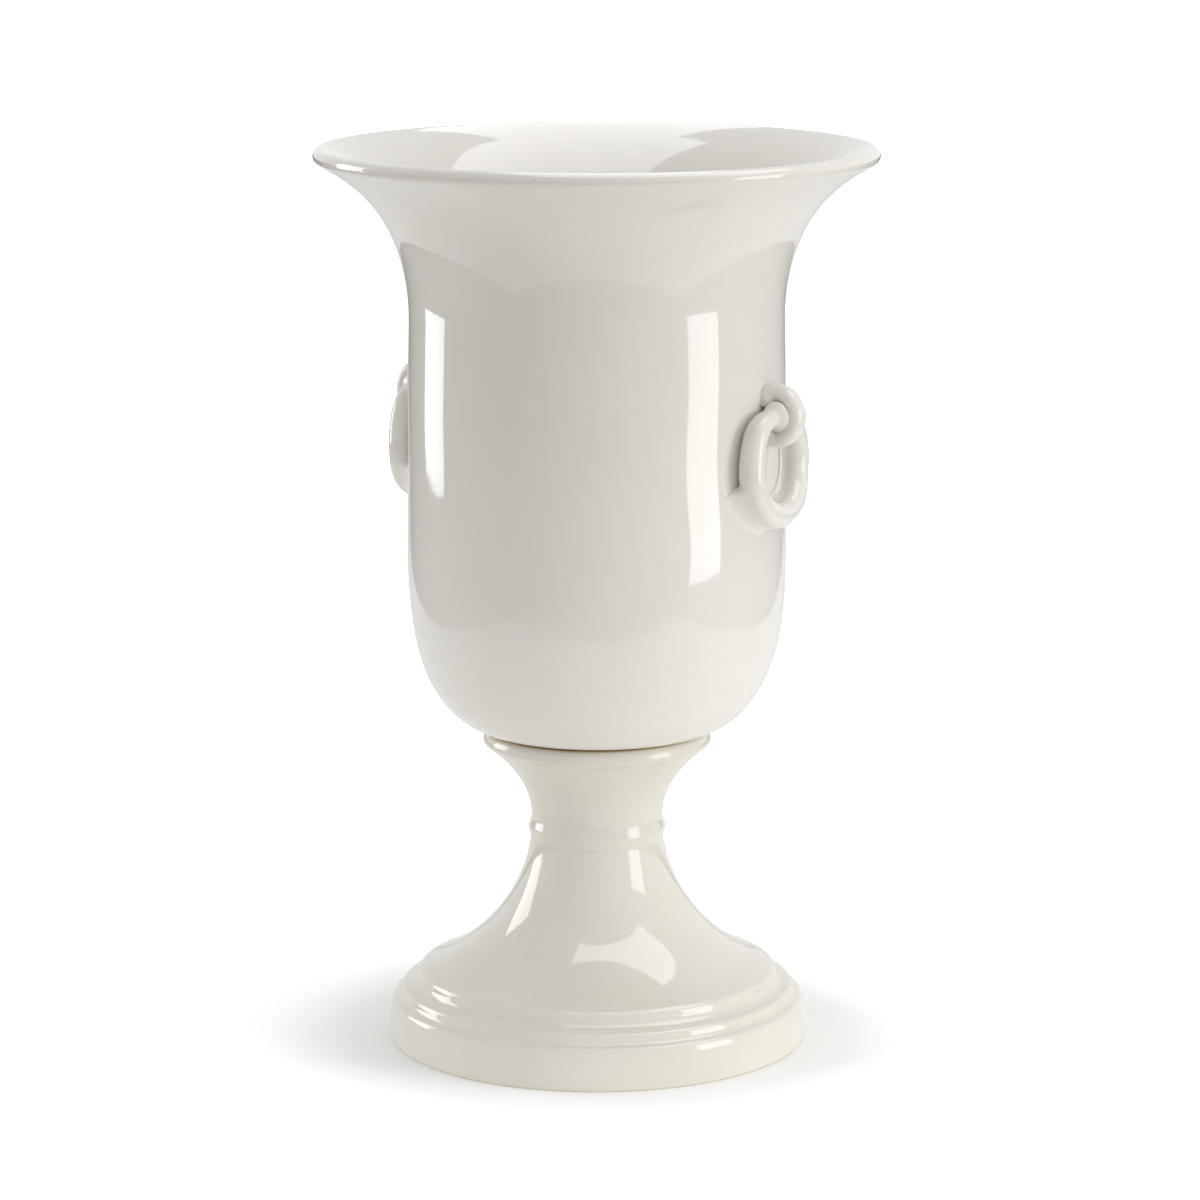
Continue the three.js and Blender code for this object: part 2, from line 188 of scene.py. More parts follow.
GASKET_THICKNESS = 2.0
GASKET_BORE = 12.0
GASKET_INSET = 1.5
SEAT_GAP = 0.3
SEAM_GAP = 0.9

# Angles in degrees from which an edge of the fastening stays crisp
WASHER_CREASE = 50
HEX_CREASE = 28

# How far glaze melts the corners, and the unevenness that hands leave in a turned wall
BOWL_MELT = 0.35
PEDESTAL_MELT = 0.3
PLINTH_MELT = 0.95
PLINTH_STARTS = (8, 13)
PLINTH_ENDS = (34, 42)
BOWL_WAVE = 0.35
PEDESTAL_WAVE = 0.2
COLUMNS = 256

# The pedestal's lip stands a little high, and more so at one side, so that the open seam narrows there. The
# lift comes in between two depths under the cup's top, and over a millimetre inside the lip.
LIP_LIFT = 0.42
LIP_TILT = 0.3
LIP_HIGH_SIDE = math.radians(15)
LIP_RISES_UNDER = (3.0, 0.6)
LIP_RISES_INSIDE = 1.0

# Heights up to which the clay is bare under bowl and foot, and how far out and up it is bare in the hollow
BOWL_BARE = 0.4
FOOT_BARE = 0.5
FOOT_BARE_INSIDE = (0.3, 10)

# Sizes of the patterns in the materials
GLAZE_CLOUD = 55
PINHOLE_CELL = 23
PEEL_RIPPLE = 5
PEEL_DEPTH = 0.010
HAND_SWELL = 38
SWELL_DEPTH = 0.25
ZINC_CLOUD = 3
ZINC_SCRATCH = 0.6
SCRATCH_DEPTH = 0.01
RUBBER_BLOOM = 4
RUBBER_GRAIN = 0.5
GRAIN_DEPTH = 0.03

# Heights and radii that follow
CUP_TOP = CUP[1] + LIP[1]
LIP_CREST_RADIUS = CUP[0] - LIP[0]
CUP_INNER_RADIUS = LIP_CREST_RADIUS - LIP_INNER_ROUND
BASE_RADIUS = CUP_INNER_RADIUS - BASE_INSET
BASE_Z = CUP_TOP + SEAM_GAP - (LIP_CREST_RADIUS - BASE_RADIUS) * math.tan(UNDERSIDE_SLOPE)
DECK_TOP = BASE_Z - GASKET_THICKNESS - 2 * SEAT_GAP
DECK_UNDER = DECK_TOP - DECK_THICKNESS
FLOOR_TOP = BASE_Z + FLOOR_THICKNESS
RIM_TOP = BASE_Z + BOWL_HEIGHT

# Edges of the white table that the vase stands on, in metres to the right and towards the camera
TABLE_LEFT = -0.66
TABLE_RIGHT = 0.64
TABLE_FRONT = 0.57

# Soft light from all round: at the left and the right of the picture, and the shares of it that come level
# and from straight above. The table glows for matt surfaces only.
SKY_LEFT = 0.65
SKY_RIGHT = 0.88
SKY_LEVEL = 1.15
SKY_ABOVE = 0.8
TABLE_GLOW = 0.3

# Camera, as fitted to the ellipses of the rim, the seam and the foot
CAMERA_DISTANCE = 2.1154
CAMERA_HEIGHT = 0.6294
CAMERA_PITCH = 0.1937
CAMERA_ROLL = -0.0008
CAMERA_AZIMUTH = math.radians(27.5)
CAMERA_SHIFT = 3.0 / 1200
CAMERA_LENS = 135
CAMERA_SENSOR = 36


def linear(hex_colour, alpha=1.0):
    """The linear colour of an sRGB hex value."""
    shares = np.array([int(hex_colour[i:i + 2], 16) for i in (1, 3, 5)]) / 255
    low = shares / 12.92
    high = ((shares + 0.055) / 1.055) ** 2.4
    return (*np.where(shares <= 0.04045, low, high).tolist(), alpha)


def cubic(t, *corners):
    """The point at share t along the cubic curve that four corners give."""
    weights = [(1 - t) ** 3, 3 * t * (1 - t) ** 2, 3 * t * t * (1 - t), t ** 3]
    return sum(weight * corner for weight, corner in zip(weights, corners))


def turned(radius, angle, height):
    """Points about the upright axis: x and y are radius times cosine and sine, z is height."""
    return np.stack(np.broadcast_arrays(radius * np.cos(angle), radius * np.sin(angle), height), -1)


class Outline:
    """A profile of radius and height, where each run of points starts at the end of the last one."""

    def __init__(self, radius, height):
        self.runs = [np.array([[radius, height]], float)]

    @property
    def end(self):
        return self.runs[-1][-1]

    def line(self, radius, height):
        self.runs.append(np.array([[radius, height]], float))
        return self

    def bezier(self, first, second, end, steps=60):
        """The cubic curve through the end points that leaves towards first and arrives from second."""
        t = np.linspace(0, 1, steps + 1)[1:, None]
        self.runs.append(cubic(t, *(np.asarray(p, float) for p in (self.end, first, second, end))))
        return self

    def arc(self, centre, radius, start, stop, steps=40):
        """A circle's arc: centre plus radius times cosine and sine of the angle."""
        angle = np.linspace(start, stop, steps + 1)[1:]
        turn = np.stack([np.cos(angle), np.sin(angle)], 1)
        self.runs.append(np.asarray(centre) + radius * turn)
        return self

    def round_over(self, size, turn=math.pi / 2, steps=24):
        """A convex quarter of an ellipse: in by size times one less cosine, up by size times sine."""
        angle = np.linspace(0, turn, steps + 1)[1:]
        self.runs.append(self.end + np.stack([size[0] * (np.cos(angle) - 1), size[1] * np.sin(angle)], 1))
        return self

    def cove(self, size, steps=24):
        """A hollow quarter of an ellipse: in by size times sine, up by size times one less cosine."""
        angle = np.linspace(0, math.pi / 2, steps + 1)[1:]
        self.runs.append(self.end + np.stack([-size[0] * np.sin(angle), size[1] * (1 - np.cos(angle))], 1))
        return self

    def points(self):
        return np.vstack(self.runs)


def softened(profile, spread, step=0.2):
    """Walks a closed profile at an even step and blurs it with a bell curve, as glaze rounds each corner."""
    loop = np.vstack([profile, profile[:1]])
    run = np.concatenate([[0], np.cumsum(np.linalg.norm(np.diff(loop, axis=0), axis=1))])
    count = int(run[-1] / step)
    even = np.arange(count) * run[-1] / count
    walk = np.stack([np.interp(even, run, loop[:, axis]) for axis in (0, 1)], 1)
    bell = np.exp(-2 * (math.pi * spread * np.fft.fftfreq(count, run[-1] / count)) ** 2)
    return np.fft.ifft(np.fft.fft(walk, axis=0) * bell[:, None], axis=0).real


def thinned(walk, rows, turn_share=0.55):
    """Keeps some rows of a closed walk, closer together where it turns, and says how sharply each turns.

    The turn is in radians per millimetre and is positive where the surface is convex.
    """
    ahead = np.roll(walk, -1, axis=0) - walk
    length = np.linalg.norm(ahead, axis=1)
    behind = np.roll(ahead, 1, axis=0)
    turn = np.arctan2(behind[:, 0] * ahead[:, 1] - behind[:, 1] * ahead[:, 0], (behind * ahead).sum(1))
    weight = (1 - turn_share) * length / length.sum() + turn_share * np.abs(turn) / np.abs(turn).sum()
    place = np.cumsum(weight)
    chosen = np.unique(np.searchsorted(place, np.linspace(0, place[-1] * (1 - 1 / rows), rows)))
    smooth = np.convolve(np.concatenate([turn[-4:], turn, turn[:4]]), np.ones(9) / 9, "valid")
    return walk[chosen], (smooth / length)[chosen]


def mesh_from_grid(name, points, wrap=(True, True), capped=False, attributes=None):
    """A mesh over a grid of points in mm: four-sided faces between neighbours, closed where the grid wraps.

    A capped grid has its first and last row closed by a fan round their middle. Faces are turned outward
    by the sign of the volume, which is a sixth of the sum of the corners' triple products.
    """
    rows, columns = points.shape[:2]
    index = np.arange(rows * columns).reshape(rows, columns)
    if wrap[0]:
        index = np.vstack([index, index[:1]])
    if wrap[1]:
        index = np.hstack([index, index[:, :1]])
    quads = np.stack([index[:-1, :-1], index[1:, :-1], index[1:, 1:], index[:-1, 1:]], -1).reshape(-1, 4)
    vertices = points.reshape(-1, 3)
    fans = np.zeros((0, 3), int)
    if capped:
        ends = [points[0].mean(0), points[-1].mean(0)]
        vertices = np.vstack([vertices, ends])
        first, last = index[0], index[-1]
        low, high = rows * columns, rows * columns + 1
        fans = np.vstack([
            np.stack([first[:-1], first[1:], np.full(len(first) - 1, low)], 1),
            np.stack([last[1:], last[:-1], np.full(len(last) - 1, high)], 1),
        ])
    corners = np.vstack([quads[:, [0, 1, 2]], quads[:, [0, 2, 3]], fans])
    a, b, c = (vertices[corners[:, i]] for i in range(3))
    if (np.cross(a, b) * c).sum() < 0:
        quads, fans = quads[:, ::-1], fans[:, ::-1]
    loops = np.concatenate([quads.ravel(), fans.ravel()]).astype(np.int32)
    totals = np.concatenate([np.full(len(quads), 4), np.full(len(fans), 3)]).astype(np.int32)
    mesh = bpy.data.meshes.new(name)
    mesh.vertices.add(len(vertices))
    mesh.vertices.foreach_set("co", (vertices * METRES).astype(np.float32).ravel())
    mesh.loops.add(len(loops))
    mesh.loops.foreach_set("vertex_index", loops)
    mesh.polygons.add(len(totals))
    mesh.polygons.foreach_set("loop_start", (np.cumsum(totals) - totals).astype(np.int32))
    mesh.polygons.foreach_set("use_smooth", np.ones(len(totals), bool))
    mesh.update(calc_edges=True)
    for label, rows_of_values in (attributes or {}).items():
        values = np.repeat(rows_of_values, columns).astype(np.float32)
        values = np.concatenate([values, np.zeros(len(vertices) - len(values), np.float32)])
        mesh.attributes.new(label, "FLOAT", "POINT").data.foreach_set("value", values)
    return mesh


def add_object(name, data):
    """Puts a mesh, lamp or camera in the scene."""
    thing = bpy.data.objects.new(name, data)
    bpy.context.scene.collection.objects.link(thing)
    return thing


def emptied_tree(owner):
    """The node tree of a material, a lamp or the world, with nothing in it yet."""
    owner.use_nodes = True
    owner.node_tree.nodes.clear()
    return owner.node_tree


def add_piece(name, mesh, material, node, sharp=None):
    """Puts a mesh in the scene as the piece that stands for one CAD node."""
    mesh.materials.append(material)
    if sharp is not None:
        mesh.set_sharp_from_angle(angle=math.radians(sharp))
    piece = add_object(name, mesh)
    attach(piece, "root")
    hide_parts(node)


def add_node(tree, kind, links=None, **settings):
    """Adds a shader node, sets its properties and unlinked sockets, and links the rest."""
    node = tree.nodes.new(kind)
    for key, value in settings.items():
        setattr(node, key, value)
    for socket, value in (links or {}).items():
        target = node.inputs[socket]
        if isinstance(value, bpy.types.NodeSocket):
            tree.links.new(value, target)
        else:
            target.default_value = value
    return node


def new_material(name):
    """An empty node material with its shader, and its Object coordinates in metres."""
    material = bpy.data.materials.new(name)
    tree = emptied_tree(material)
    shader = add_node(tree, "ShaderNodeBsdfPrincipled")
    add_node(tree, "ShaderNodeOutputMaterial", {"Surface": shader.outputs["BSDF"]})
    place = add_node(tree, "ShaderNodeTexCoord").outputs["Object"]
    return material, tree, shader, place


def per_metre(size_mm):
    """A noise scale whose features measure about that many millimetres."""
    return 1 / (size_mm * METRES)


def glaze(name, thick, thin, bare, painted_seam_glow=None):
    """Clear gloss glaze fired over white earthenware.

    It pools in hollows and runs thin on edges, where the warmer body shows. Its skin has a fine ripple like
    orange peel, a long slow wave from hand finishing and, here and there, a pinhole. A real ripple is 1 to
    2 mm long. It is drawn coarser, as far as it needs to be to show.
    """
    material, tree, shader, place = new_material(name)
    cloud = add_node(tree, "ShaderNodeTexNoise", {
        "Vector": place, "Scale": per_metre(GLAZE_CLOUD), "Detail": 3.0})
    cloud_share = add_node(tree, "ShaderNodeMapRange", {
        "Value": cloud.outputs["Fac"], "From Min": 0.35, "From Max": 0.7, "To Max": 0.35})
    edge = add_node(tree, "ShaderNodeAttribute", attribute_name="edge")
    worn = add_node(tree, "ShaderNodeMapRange", {
        "Value": edge.outputs["Fac"], "From Min": 0.12, "From Max": 0.9})
    share = add_node(tree, "ShaderNodeMath", {
        0: cloud_share.outputs[0], 1: worn.outputs[0]}, operation="MAXIMUM")
    coat = add_node(tree, "ShaderNodeMix", {
        "Factor": share.outputs[0], "A": linear(thick), "B": linear(thin)}, data_type="RGBA")
    colour = coat.outputs["Result"]
    # Painted warm light in the seam: an amber colour on the cup lip's inner crest, under the bowl, stands for
    # light that bounces through the glaze into the gap.
    if painted_seam_glow:
        height = add_node(tree, "ShaderNodeSeparateXYZ", {"Vector": place})
        flat = add_node(tree, "ShaderNodeVectorMath", {0: place, 1: (1, 1, 0)}, operation="MULTIPLY")
        radius = add_node(tree, "ShaderNodeVectorMath", {0: flat.outputs[0]}, operation="LENGTH")
        inside = add_node(tree, "ShaderNodeMapRange", {
            "Value": radius.outputs["Value"], "From Min": (LIP_CREST_RADIUS + 2.2) * METRES,
            "From Max": (LIP_CREST_RADIUS + 0.5) * METRES})
        above = add_node(tree, "ShaderNodeMapRange", {
            "Value": height.outputs["Z"], "From Min": (CUP_TOP - 9) * METRES,
            "From Max": (CUP_TOP - 1) * METRES})
        both = add_node(tree, "ShaderNodeMath", {
            0: inside.outputs[0], 1: above.outputs[0]}, operation="MULTIPLY")
        tinted = add_node(tree, "ShaderNodeMix", {
            "Factor": both.outputs[0], "A": colour, "B": linear(painted_seam_glow)}, data_type="RGBA")
        colour = tinted.outputs["Result"]
    cell = add_node(tree, "ShaderNodeTexVoronoi", {"Vector": place, "Scale": per_metre(PINHOLE_CELL)})
    speck = add_node(tree, "ShaderNodeMapRange", {
        "Value": cell.outputs["Distance"], "From Min": 0.022, "From Max": 0.014})
    chance = add_node(tree, "ShaderNodeSeparateColor", {"Color": cell.outputs["Color"]})
    rare = add_node(tree, "ShaderNodeMath", {0: chance.outputs[0], 1: 0.9}, operation="GREATER_THAN")
    hole = add_node(tree, "ShaderNodeMath", {0: speck.outputs[0], 1: rare.outputs[0]}, operation="MULTIPLY")
    pitted = add_node(tree, "ShaderNodeMix", {
        "Factor": hole.outputs[0], "A": colour, "B": linear("#5d4a35")}, data_type="RGBA")
    unglazed = add_node(tree, "ShaderNodeAttribute", attribute_name="bare")
    final = add_node(tree, "ShaderNodeMix", {
        "Factor": unglazed.outputs["Fac"], "A": pitted.outputs["Result"], "B": linear(bare)},
        data_type="RGBA")
    tree.links.new(final.outputs["Result"], shader.inputs["Base Color"])
    rough = add_node(tree, "ShaderNodeMapRange", {
        "Value": unglazed.outputs["Fac"], "To Min": 0.055, "To Max": 0.75})
    tree.links.new(rough.outputs[0], shader.inputs["Roughness"])
    shader.inputs["IOR"].default_value = 1.5
    peel = add_node(tree, "ShaderNodeTexNoise", {
        "Vector": place, "Scale": per_metre(PEEL_RIPPLE), "Detail": 1.0})
    peel_bump = add_node(tree, "ShaderNodeBump", {
        "Height": peel.outputs["Fac"], "Distance": PEEL_DEPTH * METRES})
    swell = add_node(tree, "ShaderNodeTexNoise", {
        "Vector": place, "Scale": per_metre(HAND_SWELL), "Detail": 1.0})
    swell_bump = add_node(tree, "ShaderNodeBump", {
        "Height": swell.outputs["Fac"], "Distance": SWELL_DEPTH * METRES,
        "Normal": peel_bump.outputs["Normal"]})
    tree.links.new(swell_bump.outputs["Normal"], shader.inputs["Normal"])
    return material


def zinc_plate():
    """Bright zinc plated steel, turned and stamped: cool grey with soft cloudy gloss and fine scratches."""
    material, tree, shader, place = new_material("zinc_plated_steel")
    cloud = add_node(tree, "ShaderNodeTexNoise", {
        "Vector": place, "Scale": per_metre(ZINC_CLOUD), "Detail": 4.0})
    tone = add_node(tree, "ShaderNodeMix", {
        "Factor": cloud.outputs["Fac"], "A": linear("#a9adb2"), "B": linear("#c9c8bf")}, data_type="RGBA")
    tree.links.new(tone.outputs["Result"], shader.inputs["Base Color"])
    shader.inputs["Metallic"].default_value = 1.0
    rough = add_node(tree, "ShaderNodeMapRange", {
        "Value": cloud.outputs["Fac"], "To Min": 0.22, "To Max": 0.42})
    tree.links.new(rough.outputs[0], shader.inputs["Roughness"])
    scratch = add_node(tree, "ShaderNodeTexNoise", {
        "Vector": place, "Scale": per_metre(ZINC_SCRATCH), "Detail": 2.0})
    bump = add_node(tree, "ShaderNodeBump", {
        "Height": scratch.outputs["Fac"], "Distance": SCRATCH_DEPTH * METRES})
    tree.links.new(bump.outputs["Normal"], shader.inputs["Normal"])
    return material


def moulded_rubber():
    """Black moulded rubber, matt with a dusty bloom."""
    material, tree, shader, place = new_material("black_moulded_rubber")
    bloom = add_node(tree, "ShaderNodeTexNoise", {
        "Vector": place, "Scale": per_metre(RUBBER_BLOOM), "Detail": 5.0})
    tone = add_node(tree, "ShaderNodeMix", {
        "Factor": bloom.outputs["Fac"], "A": linear("#1d1e20"), "B": linear("#3a3b3d")}, data_type="RGBA")
    tree.links.new(tone.outputs["Result"], shader.inputs["Base Color"])
    shader.inputs["Roughness"].default_value = 0.8
    grain = add_node(tree, "ShaderNodeTexNoise", {"Vector": place, "Scale": per_metre(RUBBER_GRAIN)})
    bump = add_node(tree, "ShaderNodeBump", {
        "Height": grain.outputs["Fac"], "Distance": GRAIN_DEPTH * METRES})
    tree.links.new(bump.outputs["Normal"], shader.inputs["Normal"])
    return material


def pedestal_profile():
    """The pedestal's closed section: foot, mouldings, skirt, bead, neck, cup lip, deck and hollow."""
    line = Outline(FOOT_RADIUS - FOOT_WALL, 0)
    line.line(FOOT_RADIUS - FOOT_EDGE, 0).line(FOOT_RADIUS, FOOT_EDGE).line(FOOT_RADIUS, BAND_HEIGHT)
    line.round_over(SHOULDER).cove(LOWER_COVE).round_over(STEP).cove(UPPER_COVE).round_over(ROLL, ROLL_TURN)
    leaving = np.array([-ROLL[0] * math.sin(ROLL_TURN), ROLL[1] * math.cos(ROLL_TURN)])
    leaving /= np.linalg.norm(leaving)
    waist_way = np.array([math.sin(SKIRT_LEAN), -math.cos(SKIRT_LEAN)])
    line.bezier(line.end + leaving * SKIRT_REACH, WAIST + waist_way * SKIRT_DROP, WAIST, 90)
    line.bezier((WAIST[0], WAIST[1] + BEAD_UNDER), (BEAD[0], BEAD[1] - BEAD_UNDER), BEAD, 24)
    line.bezier((BEAD[0], BEAD[1] + BEAD_OVER), (NECK[0], NECK[1] - BEAD_OVER), NECK, 24)
    flare_end = np.array([CUP[0] - CUP_FLARE_IN, CUP[1] - CUP_FLARE_DROP])
    flare_way = np.array([math.cos(CUP_FLARE_SLOPE), math.sin(CUP_FLARE_SLOPE)])
    line.bezier((NECK[0], NECK[1] + NECK_REACH), flare_end - flare_way * CUP_FLARE_REACH, flare_end)
    line.bezier(flare_end + flare_way * CUP_FLARE_IN, (CUP[0], CUP[1] - CUP_FLARE_IN), CUP, 16)
    line.round_over(LIP)
    line.arc((LIP_CREST_RADIUS, CUP_TOP - LIP_INNER_ROUND), LIP_INNER_ROUND, math.pi / 2, math.pi)
    line.line(CUP_INNER_RADIUS, DECK_TOP).line(HOLE_RADIUS, DECK_TOP).line(HOLE_RADIUS, DECK_UNDER)
    neck_inside = NECK[0] - SKIRT_WALL
    waist_inside = WAIST[0] - SKIRT_WALL
    cavity_top = CUP_INNER_RADIUS - CAVITY_TOP_INSET
    foot_inside = FOOT_RADIUS - FOOT_WALL
    roll_height = BAND_HEIGHT + SHOULDER[1] + LOWER_COVE[1] + STEP[1] + UPPER_COVE[1]
    roll_inside = foot_inside - SHOULDER[0] - LOWER_COVE[0] - STEP[0] - SKIRT_WALL / 2
    roof = roll_height + ROLL[1] - SKIRT_WALL
    line.line(cavity_top, DECK_UNDER)
    line.bezier((cavity_top - SKIRT_WALL, DECK_UNDER - SKIRT_WALL), (neck_inside, NECK[1] + NECK_REACH),
                (neck_inside, NECK[1]))
    line.line(waist_inside, WAIST[1])
    line.bezier((waist_inside, WAIST[1] - SKIRT_DROP - SKIRT_WALL),
                (roll_inside - SKIRT_REACH, roof + SKIRT_WALL), (roll_inside, roof))
    line.bezier((roll_inside + SKIRT_WALL, roof - SKIRT_WALL / 4), (foot_inside, roof - SKIRT_WALL),
                (foot_inside, BAND_HEIGHT))
    return line.points()


def body_corners():
    """The four corners of the curve between the bowl's belly and its narrowest place."""
    low = (BELLY[0], BASE_Z + BELLY[1])
    high = (BODY[0], BASE_Z + BODY[1])
    return low, (low[0], low[1] + BODY_REACH), (high[0], high[1] - BODY_REACH), high


def wall_radius(height):
    """The bowl's outer radius at a height on the body, read off its curve."""
    low, first, second, high = body_corners()
    curve = Outline(*low).bezier(first, second, high, 200).points()
    return np.interp(height, curve[:, 1], curve[:, 0])


def bowl_profile():
    """The bowl's closed section: base, belly, body, flare, rolled lip, inside, floor and bolt hole."""
    leaving = np.array([math.cos(UNDERSIDE_SLOPE), math.sin(UNDERSIDE_SLOPE)])
    line = Outline(HOLE_RADIUS, BASE_Z).line(BASE_RADIUS, BASE_Z)
    line.line(BASE_RADIUS + UNDERSIDE_STRAIGHT, BASE_Z + UNDERSIDE_STRAIGHT * math.tan(UNDERSIDE_SLOPE))
    belly_z, body_z = BASE_Z + BELLY[1], BASE_Z + BODY[1]
    line.bezier(line.end + leaving * UNDERSIDE_REACH, (BELLY[0], belly_z - BELLY_DROP),
                (BELLY[0], belly_z), 120)
    line.bezier(*body_corners()[1:])
    lip_centre = np.array([RIM_RADIUS - LIP_ROLL, RIM_TOP - LIP_ROLL])
    start = FLARE_SLOPE - math.pi / 2
    flare_end = lip_centre + LIP_ROLL * np.array([math.cos(start), math.sin(start)])
    flare_way = np.array([math.cos(FLARE_SLOPE), math.sin(FLARE_SLOPE)])
    line.bezier((BODY[0], body_z + FLARE_REACH), flare_end - flare_way * FLARE_RUN_IN, flare_end, 120)
    line.arc(lip_centre, LIP_ROLL, start, INNER_LIP_TURN)
    falling = np.array([-math.sin(INNER_LIP_TURN), math.cos(INNER_LIP_TURN)])
    body_inside, belly_inside = BODY[0] - BOWL_WALL, BELLY[0] - BOWL_WALL
    underside_inside = (FLOOR_RADIUS + belly_inside + BOWL_WALL) / 2
    line.bezier(line.end + falling * FLARE_RUN_IN, (body_inside, body_z + FLARE_REACH),
                (body_inside, body_z), 90)
    line.bezier((body_inside, body_z - BODY_REACH), (belly_inside, belly_z + BODY_REACH),
                (belly_inside, belly_z))
    line.bezier((belly_inside, belly_z - BELLY_DROP), (underside_inside, FLOOR_TOP),
                (FLOOR_RADIUS, FLOOR_TOP), 90)
    line.line(HOLE_RADIUS, FLOOR_TOP)
    return line.points()


def hand_waves(seed, amplitude, low, high, fade):
    """A slow unevenness of the wall, in mm of radius, as a function of angle and height.

    It is a sum of cosines, two to five round the vase and one wave in 60 to 140 mm of height, and it fades
    out to nothing at the low and high limits.
    """
    chance = np.random.default_rng(seed)
    lobes = np.array([2, 3, 4, 5, 3])
    lengths = chance.uniform(60, 140, len(lobes))
    phases = chance.uniform(0, 2 * math.pi, (2, len(lobes)))
    sizes = amplitude / lobes

    def wave(angle, height):
        window = np.clip((height - low) / fade, 0, 1) * np.clip((high - height) / fade, 0, 1)
        window = window * window * (3 - 2 * window)
        total = sum(size * np.cos(lobe * angle + turn) * np.cos(2 * math.pi * height / length + shift)
                    for size, lobe, turn, length, shift in zip(sizes, lobes, phases[0], lengths, phases[1]))
        return window * total
    return wave


def turned_grid(profile, columns, wave=None):
    """A profile turned about the upright axis, with the wave added to its radius."""
    angle = np.arange(columns)[None, :] * 2 * math.pi / columns
    radius, height = profile[:, :1], profile[:, 1:]
    if wave:
        radius = radius + wave(angle, height)
    return turned(radius, angle, height)


def smooth_step(value, start, stop):
    """Nought before start, one after stop and an S-shaped rise between."""
    t = np.clip((value - start) / (stop - start), 0, 1)
    return t * t * (3 - 2 * t)


def ring_grid(side, seed, clocks=320, turns=72):
    """The ring: a round bar bent to the wall, with a fillet of slip down its lower near side.

    Along the bar the clock angle runs from the bottom round to the bottom. Round the bar the section is a
    circle, outward by cosine and off the wall by sine. Where slip holds the bar, the section leaves the
    circle on its outer side and runs out on a cubic curve that ends level with the wall. Down the far side
    glaze fills the corner inside the eye in the same way, and it stands as a low collar on each side of the
    lug.
    """
    chance = np.random.default_rng(seed)
    clock = np.linspace(-math.pi, math.pi, clocks, endpoint=False)[:, None]
    around = np.linspace(-math.pi, math.pi, turns, endpoint=False)[None, :]
    topness = np.clip(np.cos(clock), 0, None) ** 2
    lumps = sum(RING_LUMPS * np.cos(k * clock + chance.uniform(0, 6.3)) for k in (3, 4, 6))
    thick = (RING_THICK + (RING_TOP_THICK - RING_THICK) * topness) * (1 + lumps)
    beside = np.where(np.cos(clock) > 0, np.abs(RING_ACROSS * np.sin(clock)), RING_ACROSS)
    thick = thick + COLLAR * smooth_step(beside, *COLLAR_RISES) * (1 - smooth_step(beside, *COLLAR_FALLS))
    tall = 1 + TALLER * (1 - smooth_step(beside, *TALLER_FALLS))
    bulge = SHOULDER_BULGE * np.exp(-(((clock - SHOULDER_CLOCK) / SHOULDER_SPREAD) ** 2))
    across = (RING_ACROSS + bulge) * np.sin(clock)
    wall = wall_radius(RING_HEIGHT)
    centre = np.sqrt((wall + SEAT_GAP + thick) ** 2 - across ** 2)

    def at(outward, off):
        y = across + outward * np.sin(clock)
        z = RING_HEIGHT + (RING_UP + bulge + outward) * np.cos(clock)
        return np.stack(np.broadcast_arrays(centre + off, y, z), -1)

    def on_bar(angle):
        return at(thick * math.cos(angle), thick * math.sin(angle))

    def on_wall(outward, clear):
        place = at(outward, 0)
        place[..., 0] = np.sqrt(wall_radius(place[..., 2]) ** 2 - place[..., 1] ** 2) + clear
        return place

    circle = at(thick * tall * np.cos(around), thick * np.sin(around))

    t = np.clip((SLIP_LEAVES - around) / (SLIP_LEAVES - SLIP_LANDS), 0, 1)[..., None]
    slip = cubic(t, on_bar(SLIP_LEAVES), at(thick * SLIP_SHOULDER[0], thick * SLIP_SHOULDER[1]),
                 on_wall(thick + RUN_IN_SHARE * SLIP_REACH, SLIP_RISE),
                 on_wall(thick + SLIP_REACH, -SLIP_SUNK))
    starting = smooth_step(clock, SLIP_FROM, SLIP_FROM + SLIP_FADE_IN)
    held = starting * (1 - smooth_step(clock, SLIP_TO - SLIP_FADE_OUT, SLIP_TO))
    on_slip = smooth_step(around, *SLIP_BACK) * (around < SLIP_LEAVES) * held

    t = np.clip((around - FILL_LEAVES) / (FILL_LANDS - FILL_LEAVES), 0, 1)[..., None]
    fill = cubic(t, on_bar(FILL_LEAVES), at(-thick, FILL_SHOULDER * thick),
                 on_wall(-thick - RUN_IN_SHARE * FILL_REACH, FILL_RISE),
                 on_wall(-thick - FILL_REACH, FILL_CLEAR))
    far = np.abs((clock - FILL_MIDDLE + math.pi) % (2 * math.pi) - math.pi)
    on_fill = (around > FILL_LEAVES) * (1 - smooth_step(around, FILL_LANDS, FILL_BACK))
    on_fill = on_fill * (1 - smooth_step(far, FILL_SPREAD - FILL_FADE, FILL_SPREAD))
    grid = circle + (slip - circle) * on_slip[..., None] + (fill - circle) * on_fill[..., None]
    grid[..., 0] *= side
    return grid


